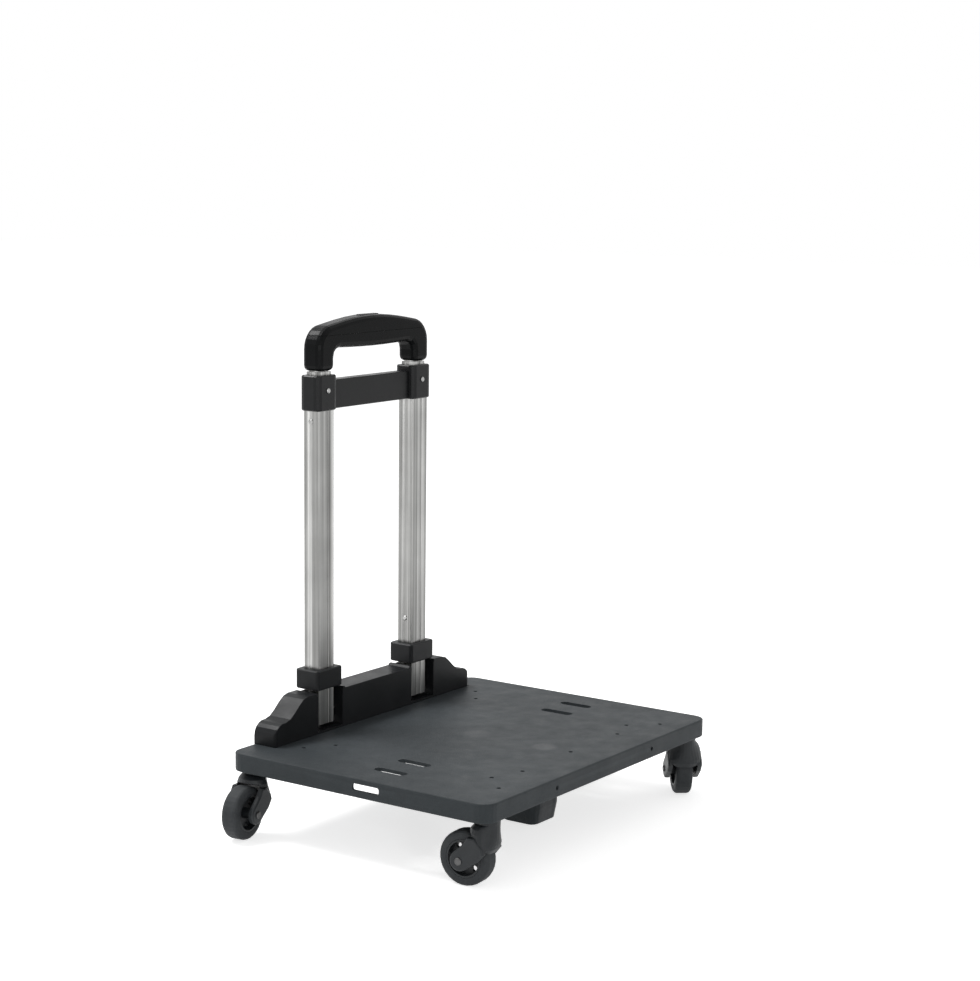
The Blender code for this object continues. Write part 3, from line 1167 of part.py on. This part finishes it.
def build_spring(steel, anchor):
    """The coil spring that lifts the yoke, on the floor of the space inside the grip."""
    low = YOKE_SPACE_BOTTOM_Z + FIT_GAP + SPRING_WIRE_RADIUS
    high = YOKE_BOTTOM_Z - FIT_GAP - SPRING_WIRE_RADIUS
    curve = bpy.data.curves.new("button_spring", "CURVE")
    curve.dimensions = "3D"
    curve.bevel_depth = SPRING_WIRE_RADIUS
    curve.bevel_resolution = 0
    curve.use_fill_caps = True
    steps = SPRING_TURNS * SPRING_STEPS
    line = curve.splines.new("POLY")
    line.points.add(steps)
    origin = anchor.matrix_world.translation
    for step in range(steps + 1):
        angle = 2 * math.pi * step / SPRING_STEPS
        point = Vector((
            SPRING_RADIUS * math.cos(angle),
            TUBE_Y + SPRING_RADIUS * math.sin(angle),
            low + (high - low) * step / steps,
        ))
        line.points[step].co = (*(point - origin), 1.0)
    curve.materials.append(steel)
    spring = bpy.data.objects.new("button_spring", curve)
    bpy.context.collection.objects.link(spring)
    spring.parent = anchor


def build_pivot_pins(steel):
    reach = CHANNEL_HALF_WIDTH + CHANNEL_SIDE_WALL - FIT_GAP
    for side, sign in SIDES.items():
        place = (sign * TUBE_CENTRE_X, TUBE_Y, PIVOT_Z)
        add_piece(f"pivot_pin_{side}", rod(PIVOT_PIN_RADIUS, -reach, reach, "X", place, ROUND_SEGMENTS), steel)


def build():
    clear_scene()
    deck_plastic = make_material("deck_plastic", (0.075, 0.083, 0.088), 0.55)
    black_plastic = make_material("black_plastic", (0.018, 0.019, 0.021), 0.42)
    tube_metal = make_material("tube_aluminium", (0.62, 0.62, 0.60), 0.32, 1.0)
    steel = make_material("steel", (0.55, 0.55, 0.54), 0.30, 1.0)
    rubber = make_material("tyre_rubber", (0.035, 0.038, 0.040), 0.65)

    fold = make_anchor("fold_pivot", (0.0, TUBE_Y, PIVOT_Z))
    middle = make_anchor("middle_slide", (0.0, 0.0, MIDDLE_TUBE_TOP_Z - PIVOT_Z), fold)
    inner = make_anchor("inner_slide", (0.0, 0.0, HANDLE_BOTTOM_Z - MIDDLE_TUBE_TOP_Z), middle)
    release = make_anchor("release_press", (0.0, 0.0, HANDLE_TOP_Z - HANDLE_BOTTOM_Z), inner)

    build_deck(deck_plastic)
    build_bracket(black_plastic)
    build_bracket_screws(steel)
    build_pivot_pins(steel)
    build_casters(black_plastic, rubber, steel)
    for side, sign in SIDES.items():
        collar_place = (sign * TUBE_CENTRE_X, 0.0, COLLAR_BOTTOM_Z - PIVOT_Z)
        collar_anchor = make_anchor(f"collar_slide_{side}", collar_place, fold)
        build_outer_stage(side, sign, tube_metal, black_plastic, steel, fold)
        build_collar(side, sign, black_plastic, collar_anchor)
        build_middle_stage(side, sign, tube_metal, black_plastic, middle)
        build_inner_stage(side, sign, tube_metal, black_plastic, inner)
    build_latch_housing(black_plastic, steel, fold)
    build_handle(black_plastic, steel, inner, release)


build()
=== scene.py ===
import math

import bpy
from mathutils import Matrix, Vector


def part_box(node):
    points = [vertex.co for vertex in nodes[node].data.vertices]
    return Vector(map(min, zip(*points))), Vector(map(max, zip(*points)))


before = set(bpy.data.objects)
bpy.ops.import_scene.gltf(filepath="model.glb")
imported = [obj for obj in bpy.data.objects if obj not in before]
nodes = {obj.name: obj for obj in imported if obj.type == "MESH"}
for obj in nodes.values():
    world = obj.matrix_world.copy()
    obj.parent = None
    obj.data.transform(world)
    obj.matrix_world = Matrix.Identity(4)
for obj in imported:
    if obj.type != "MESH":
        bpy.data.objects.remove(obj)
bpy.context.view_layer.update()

# Corners of the pieces that other things are placed from, in metres
DECK_LOW, DECK_HIGH = (Vector(corner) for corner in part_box("deck"))
FLOOR_Z = Vector(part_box("caster_tyre_front_left")[0]).z

# Camera, fitted to the photograph: metres, degrees, and millimetres for the lens and the sensor
CAMERA_PLACE = Vector((-2.0013, -1.4067, 0.6493))
CAMERA_YAW = 55.184
CAMERA_PITCH = -8.484
CAMERA_ROLL = 0.605
CAMERA_LENS = 79.975
CAMERA_SENSOR = 36.0
CAMERA_CLIP = (0.05, 60.0)

# Square lamps: place, point aimed at and side in metres, power in watts
LAMPS = {
    "key": ((-0.5, 1.4, 2.3), (0.0, 0.0, 0.1), 1.1, 53.0),
    "fill": ((-1.75, -2.3, 0.75), (0.0, 0.0, 0.2), 0.34, 8.0),
}

# White surroundings: their strength as light on the object, and as they are seen
WHITE = (1.0, 1.0, 1.0, 1.0)
WORLD_LIGHT, WORLD_SEEN = 0.46, 1.0
FLOOR_LIGHT, FLOOR_SEEN = 0.0, 0.70
FLOOR_COLOUR = (0.90, 0.90, 0.90, 1.0)
FLOOR_ROUGHNESS = 0.9
FLOOR_HALF = 14.0

# Round sink marks on the deck, painted as lighter spots of sheen: distance in front of its middle
# and radius in metres, and strength
SINK_MARK_SHEENS = ((0.0, 0.020, 0.35), (0.0936, 0.017, 0.60))
# Colour of the painted sheen on the sink marks, lighter than the deck
SINK_SHEEN_COLOUR = (0.115, 0.118, 0.122)
# Share of a mark's radius inside which it has its whole strength
SINK_CORE = 0.55

# Heights over which painted shade takes the tubes from darker feet, where the dark deck is mirrored
# in them, to lighter tops
TUBE_PAINTED_SHADE_HEIGHTS = (0.05, 0.42)


def add_camera():
    yaw = math.radians(CAMERA_YAW)
    pitch = math.radians(CAMERA_PITCH)
    roll = math.radians(CAMERA_ROLL)
    level = math.cos(pitch)
    forward = Vector((math.sin(yaw) * level, math.cos(yaw) * level, math.sin(pitch)))
    right = Vector((math.cos(yaw), -math.sin(yaw), 0.0))
    up = right.cross(forward)
    turned_right = right * math.cos(roll) + up * math.sin(roll)
    turned_up = up * math.cos(roll) - right * math.sin(roll)
    data = bpy.data.cameras.new("camera")
    data.sensor_fit = "HORIZONTAL"
    data.sensor_width = CAMERA_SENSOR
    data.lens = CAMERA_LENS
    data.clip_start, data.clip_end = CAMERA_CLIP
    camera = bpy.data.objects.new("camera", data)
    bpy.context.scene.collection.objects.link(camera)
    turn = Matrix((turned_right, turned_up, -forward)).transposed()
    camera.matrix_world = Matrix.Translation(CAMERA_PLACE) @ turn.to_4x4()
    bpy.context.scene.camera = camera


def add_lamp(name, place, aim, side, power):
    data = bpy.data.lights.new(name, "AREA")
    data.shape = "RECTANGLE"
    data.size = data.size_y = side
    data.energy = power
    lamp = bpy.data.objects.new(name, data)
    bpy.context.scene.collection.objects.link(lamp)
    lamp.location = place
    lamp.rotation_euler = (Vector(aim) - Vector(place)).to_track_quat("-Z", "Y").to_euler()


class Nodes:
    """Short names for building a node tree. A value is a number, a tuple or a node's output."""

    def __init__(self, tree):
        self.tree = tree

    def fill(self, node, inputs):
        for name, value in inputs.items():
            socket = node.inputs[name]
            if isinstance(value, (int, float, tuple)):
                socket.default_value = value
            else:
                self.tree.links.new(value, socket)

    def add(self, kind, inputs, output, **settings):
        """A new node, as the output of that name."""
        node = self.tree.nodes.new(kind)
        for key, value in settings.items():
            setattr(node, key, value)
        self.fill(node, inputs)
        return node.outputs[output]

    def place(self, stretch=(1.0, 1.0, 1.0)):
        """The point on the piece, in the piece's own coordinates, times the stretch."""
        where = self.add("ShaderNodeTexCoord", {}, "Object")
        return self.add("ShaderNodeMapping", {"Vector": where, "Scale": stretch}, "Vector")

    def noise(self, scale, detail, roughness, stretch=(1.0, 1.0, 1.0)):
        inputs = {
            "Vector": self.place(stretch),
            "Scale": scale,
            "Detail": detail,
            "Roughness": roughness,
        }
        return self.add("ShaderNodeTexNoise", inputs, "Fac")

    def remap(self, value, old, new):
        """The value, taken from the range old to the range new and held inside it."""
        inputs = {
            "Value": value,
            "From Min": old[0],
            "From Max": old[1],
            "To Min": new[0],
            "To Max": new[1],
        }
        return self.add("ShaderNodeMapRange", inputs, "Result")

    def ramp(self, value, stops):
        colour = self.add("ShaderNodeValToRGB", {"Fac": value}, "Color")
        elements = colour.node.color_ramp.elements
        while len(elements) < len(stops):
            elements.new(0.5)
        for element, (position, stop_colour) in zip(elements, stops):
            element.position = position
            element.color = (*stop_colour, 1.0)
        return colour

    def math(self, operation, first, second):
        inputs = {0: first, 1: second}
        return self.add("ShaderNodeMath", inputs, "Value", operation=operation)

    def weighted(self, *parts):
        """The sum of the values, each times its weight."""
        total, *others = [self.math("MULTIPLY", value, weight) for value, weight in parts]
        for other in others:
            total = self.math("ADD", total, other)
        return total

    def vector(self, operation, inputs, output="Vector"):
        return self.add("ShaderNodeVectorMath", inputs, output, operation=operation)

    def cover(self, colour, factor, other):
        """The colour with the other one over it, by the factor."""
        inputs = {"Factor": factor, "A": colour, "B": (*other, 1.0)}
        return self.add("ShaderNodeMix", inputs, "Result", data_type="RGBA")

    def bump(self, height, distance, strength, under=None):
        inputs = {"Height": height, "Distance": distance, "Strength": strength}
        if under is not None:
            inputs["Normal"] = under
        return self.add("ShaderNodeBump", inputs, "Normal")


def new_material(name):
    made = bpy.data.materials.new(name)
    made.use_nodes = True
    return made, Nodes(made.node_tree), made.node_tree.nodes["Principled BSDF"]


def near_spot(use, place, radius):
    """1 in the middle of a round spot on a level face, falling to 0 at its edge."""
    offset = use.vector("SUBTRACT", {0: use.place(), 1: (*place, 0.0)})
    scaled = use.vector("MULTIPLY", {0: offset, 1: (1 / radius, 1 / radius, 0.0)})
    distance = use.vector("LENGTH", {0: scaled}, "Value")
    return use.remap(distance, (SINK_CORE, 1.0), (1.0, 0.0))


def leather_grain(use, size):
    """The pebbled pattern that is etched into a mould, as a height from 0 to 1."""
    where = use.place()
    sway = use.add("ShaderNodeTexNoise", {"Vector": where, "Scale": 0.4 / size}, "Color")
    swayed = use.vector("MULTIPLY_ADD", {0: sway, 1: (size, size, size), 2: where})
    inputs = {"Vector": swayed, "Scale": 1 / size, "Smoothness": 0.4}
    cells = use.add("ShaderNodeTexVoronoi", inputs, "Distance", feature="SMOOTH_F1")
    return use.remap(cells, (0.0, 0.7), (1.0, 0.0))


def grained_plastic(name, dark, light, roughness, specular, grain, grain_depth, edge_wear_and_highlight, sheen_spots=()):
    """Moulded plastic: pebbled grain, cloudy colour and gloss, scuffs, lighter spots of painted
    sheen on sink marks, and edges painted paler, partly as rubbing and partly as a painted
    highlight.
    """
    made, use, shader = new_material(name)
    cloud = use.noise(scale=9.0, detail=4.0, roughness=0.6)
    fine = leather_grain(use, grain)
    streaks = use.noise(scale=30.0, detail=6.0, roughness=0.75, stretch=(1.0, 6.0, 1.0))
    scuffs = use.remap(streaks, (0.60, 0.78), (0.0, 0.35))
    mixed = use.weighted((cloud, 0.75), (fine, 0.25), (scuffs, 0.4))
    colour = use.ramp(mixed, ((0.30, dark), (0.75, light)))
    # Painted sheen: each sink mark is made lighter in colour, standing in for the light its dent
    # catches
    for place, radius, strength in sheen_spots:
        sheen_mask = use.math("MULTIPLY", near_spot(use, place, radius), strength)
        colour = use.cover(colour, sheen_mask, SINK_SHEEN_COLOUR)
    # Edges painted paler: partly rubbing, partly a painted highlight along the rounded edges
    pointiness = use.add("ShaderNodeNewGeometry", {}, "Pointiness")
    edge = use.remap(pointiness, (0.52, 0.60), (0.0, edge_wear_and_highlight))
    rub_and_highlight = use.math("MULTIPLY", edge, use.noise(scale=60.0, detail=3.0, roughness=0.6))
    colour = use.cover(colour, rub_and_highlight, [channel * 2.2 + 0.01 for channel in light])
    gloss = use.noise(scale=38.0, detail=4.0, roughness=0.6)
    waves = use.noise(scale=24.0, detail=2.0, roughness=0.5)
    flow = use.bump(waves, distance=0.0005, strength=0.30)
    use.fill(shader, {
        "Base Color": colour,
        "Roughness": use.remap(gloss, (0.3, 0.7), (roughness - 0.06, roughness + 0.07)),
        "Specular IOR Level": specular,
        "Normal": use.bump(fine, grain_depth, strength=0.6, under=flow),
    })
    return made


def drawn_tube(name):
    """Extruded aluminium: light and dark bands and fine die lines along the tube's whole length,
    with painted shade darker towards the feet.
    """
    made, use, shader = new_material(name)
    along = (1.0, 1.0, 0.004)
    bands = use.noise(scale=160.0, detail=2.0, roughness=0.6, stretch=along)
    lines = use.noise(scale=1500.0, detail=4.0, roughness=0.65, stretch=along)
    cloud = use.noise(scale=16.0, detail=3.0, roughness=0.5)
    height = use.add("ShaderNodeSeparateXYZ", {"Vector": use.place()}, "Z")
    # Painted shade: darker towards the tube's feet, standing in for the dark deck mirrored there
    painted_shade = use.remap(height, TUBE_PAINTED_SHADE_HEIGHTS, (-0.055, 0.015))
    mixed = use.math("ADD", use.weighted((bands, 0.68), (lines, 0.20), (cloud, 0.12)), painted_shade)
    stops = (
        (0.36, (0.125, 0.125, 0.122)),
        (0.50, (0.300, 0.300, 0.293)),
        (0.62, (0.560, 0.560, 0.550)),
    )
    use.fill(shader, {
        "Base Color": use.ramp(mixed, stops),
        "Metallic": 1.0,
        "Roughness": use.remap(lines, (0.3, 0.7), (0.27, 0.40)),
        "Normal": use.bump(lines, distance=0.00004, strength=0.5),
    })
    return made


def small_metal(name, dark, light, roughness):
    """Rivets, axles, pins and screws: a fine speckle in colour, gloss and height."""
    made, use, shader = new_material(name)
    speckle = use.noise(scale=600.0, detail=5.0, roughness=0.65)
    cloud = use.noise(scale=14.0, detail=3.0, roughness=0.5)
    mixed = use.weighted((speckle, 0.6), (cloud, 0.4))
    use.fill(shader, {
        "Base Color": use.ramp(mixed, ((0.32, dark), (0.68, light))),
        "Metallic": 1.0,
        "Roughness": use.remap(speckle, (0.3, 0.7), (roughness - 0.05, roughness + 0.08)),
        "Normal": use.bump(speckle, distance=0.00004, strength=0.5),
    })
    return made


def tyre_rubber(name):
    """Dark rubber with a little dust in patches."""
    made, use, shader = new_material(name)
    dust = use.noise(scale=70.0, detail=4.0, roughness=0.65)
    pores = use.noise(scale=900.0, detail=3.0, roughness=0.6)
    stops = ((0.35, (0.026, 0.029, 0.032)), (0.70, (0.050, 0.054, 0.057)))
    use.fill(shader, {
        "Base Color": use.ramp(dust, stops),
        "Roughness": use.remap(dust, (0.3, 0.7), (0.55, 0.75)),
        "Specular IOR Level": 0.25,
        "Normal": use.bump(pores, distance=0.0001, strength=0.5),
    })
    return made


def dress_nodes():
    """Give every piece its material, chosen by how its name starts."""
    middle = (DECK_LOW + DECK_HIGH) / 2
    sink_sheens = [
        ((middle.x, middle.y - forward), radius, strength)
        for forward, radius, strength in SINK_MARK_SHEENS
    ]
    deck = grained_plastic(
        "deck_grain", dark=(0.029, 0.034, 0.037), light=(0.038, 0.044, 0.048),
        roughness=0.47, specular=0.12, grain=0.0011, grain_depth=0.00020, edge_wear_and_highlight=0.4, sheen_spots=sink_sheens,
    )
    bracket = grained_plastic(
        "bracket_plastic", dark=(0.0060, 0.0066, 0.0076), light=(0.0110, 0.0120, 0.0132),
        roughness=0.37, specular=0.15, grain=0.0008, grain_depth=0.00010, edge_wear_and_highlight=0.3,
    )
    black = grained_plastic(
        "black_satin", dark=(0.0030, 0.0033, 0.0036), light=(0.0058, 0.0062, 0.0066),
        roughness=0.27, specular=0.07, grain=0.0006, grain_depth=0.00006, edge_wear_and_highlight=0.3,
    )
    caster = grained_plastic(
        "caster_plastic", dark=(0.012, 0.014, 0.016), light=(0.022, 0.026, 0.029),
        roughness=0.44, specular=0.30, grain=0.0007, grain_depth=0.00008, edge_wear_and_highlight=0.3,
    )
    latch = grained_plastic(
        "latch_plastic", dark=(0.0060, 0.0064, 0.0070), light=(0.0105, 0.0112, 0.0120),
        roughness=0.32, specular=0.18, grain=0.0006, grain_depth=0.00006, edge_wear_and_highlight=0.3,
    )
    tube = drawn_tube("tube_aluminium")
    axle = small_metal("axle_steel", (0.07, 0.07, 0.07), (0.13, 0.13, 0.13), 0.36)
    rivet = small_metal("rivet_aluminium", (0.30, 0.30, 0.30), (0.46, 0.46, 0.45), 0.30)
    steel = small_metal("plated_steel", (0.50, 0.50, 0.49), (0.68, 0.68, 0.66), 0.24)
    rubber = tyre_rubber("tyre_rubber")
    looks = (
        (deck, ("deck",)),
        (rubber, ("caster_tyre",)),
        (caster, ("caster_fork", "caster_hub", "caster_socket")),
        (tube, ("outer_tube", "middle_tube", "inner_tube")),
        (bracket, ("base_bracket", "lock_collar")),
        (latch, ("latch_housing",)),
        (axle, ("caster_axle",)),
        (rivet, ("latch_rivet", "guide_rivet", "collar_stop")),
        (steel, ("bracket_screw", "pivot_pin", "caster_stem", "push_rod", "button_spring")),
    )
    for name, thing in nodes.items():
        chosen = next((look for look, starts in looks if name.startswith(starts)), black)
        thing.data.materials.clear()
        thing.data.materials.append(chosen)


def seen_directly(use, light, seen):
    """The strength seen for rays from the camera, mirrors and glass, and light for all others."""
    path = use.tree.nodes.new("ShaderNodeLightPath").outputs
    direct = use.math("MAXIMUM", path["Is Camera Ray"], path["Is Glossy Ray"])
    direct = use.math("MAXIMUM", direct, path["Is Transmission Ray"])
    return use.remap(direct, (0.0, 1.0), (light, seen))


def add_floor():
    """A white floor that keeps the object's shadow."""
    mesh = bpy.data.meshes.new("floor")
    turns = ((-1, -1), (1, -1), (1, 1), (-1, 1))
    corners = [(x * FLOOR_HALF, y * FLOOR_HALF, FLOOR_Z) for x, y in turns]
    mesh.from_pydata(corners, [], [(0, 1, 2, 3)])
    floor = bpy.data.objects.new("floor", mesh)
    bpy.context.scene.collection.objects.link(floor)
    made, use, shader = new_material("floor_white")
    use.fill(shader, {
        "Base Color": FLOOR_COLOUR,
        "Roughness": FLOOR_ROUGHNESS,
        "Specular IOR Level": 0.0,
    })
    strength = seen_directly(use, FLOOR_LIGHT, FLOOR_SEEN)
    glow = use.add("ShaderNodeEmission", {"Color": WHITE, "Strength": strength}, "Emission")
    both = use.add("ShaderNodeAddShader", {0: shader.outputs["BSDF"], 1: glow}, "Shader")
    use.fill(use.tree.nodes["Material Output"], {"Surface": both})
    mesh.materials.append(made)


def light_scene():
    world = bpy.data.worlds.new("studio")
    bpy.context.scene.world = world
    world.use_nodes = True
    use = Nodes(world.node_tree)
    strength = seen_directly(use, WORLD_LIGHT, WORLD_SEEN)
    use.fill(world.node_tree.nodes["Background"], {"Color": WHITE, "Strength": strength})
    for name, (place, aim, side, power) in LAMPS.items():
        add_lamp(name, place, aim, side, power)
    bpy.context.scene.view_settings.view_transform = "Standard"


add_camera()
light_scene()
add_floor()
dress_nodes()
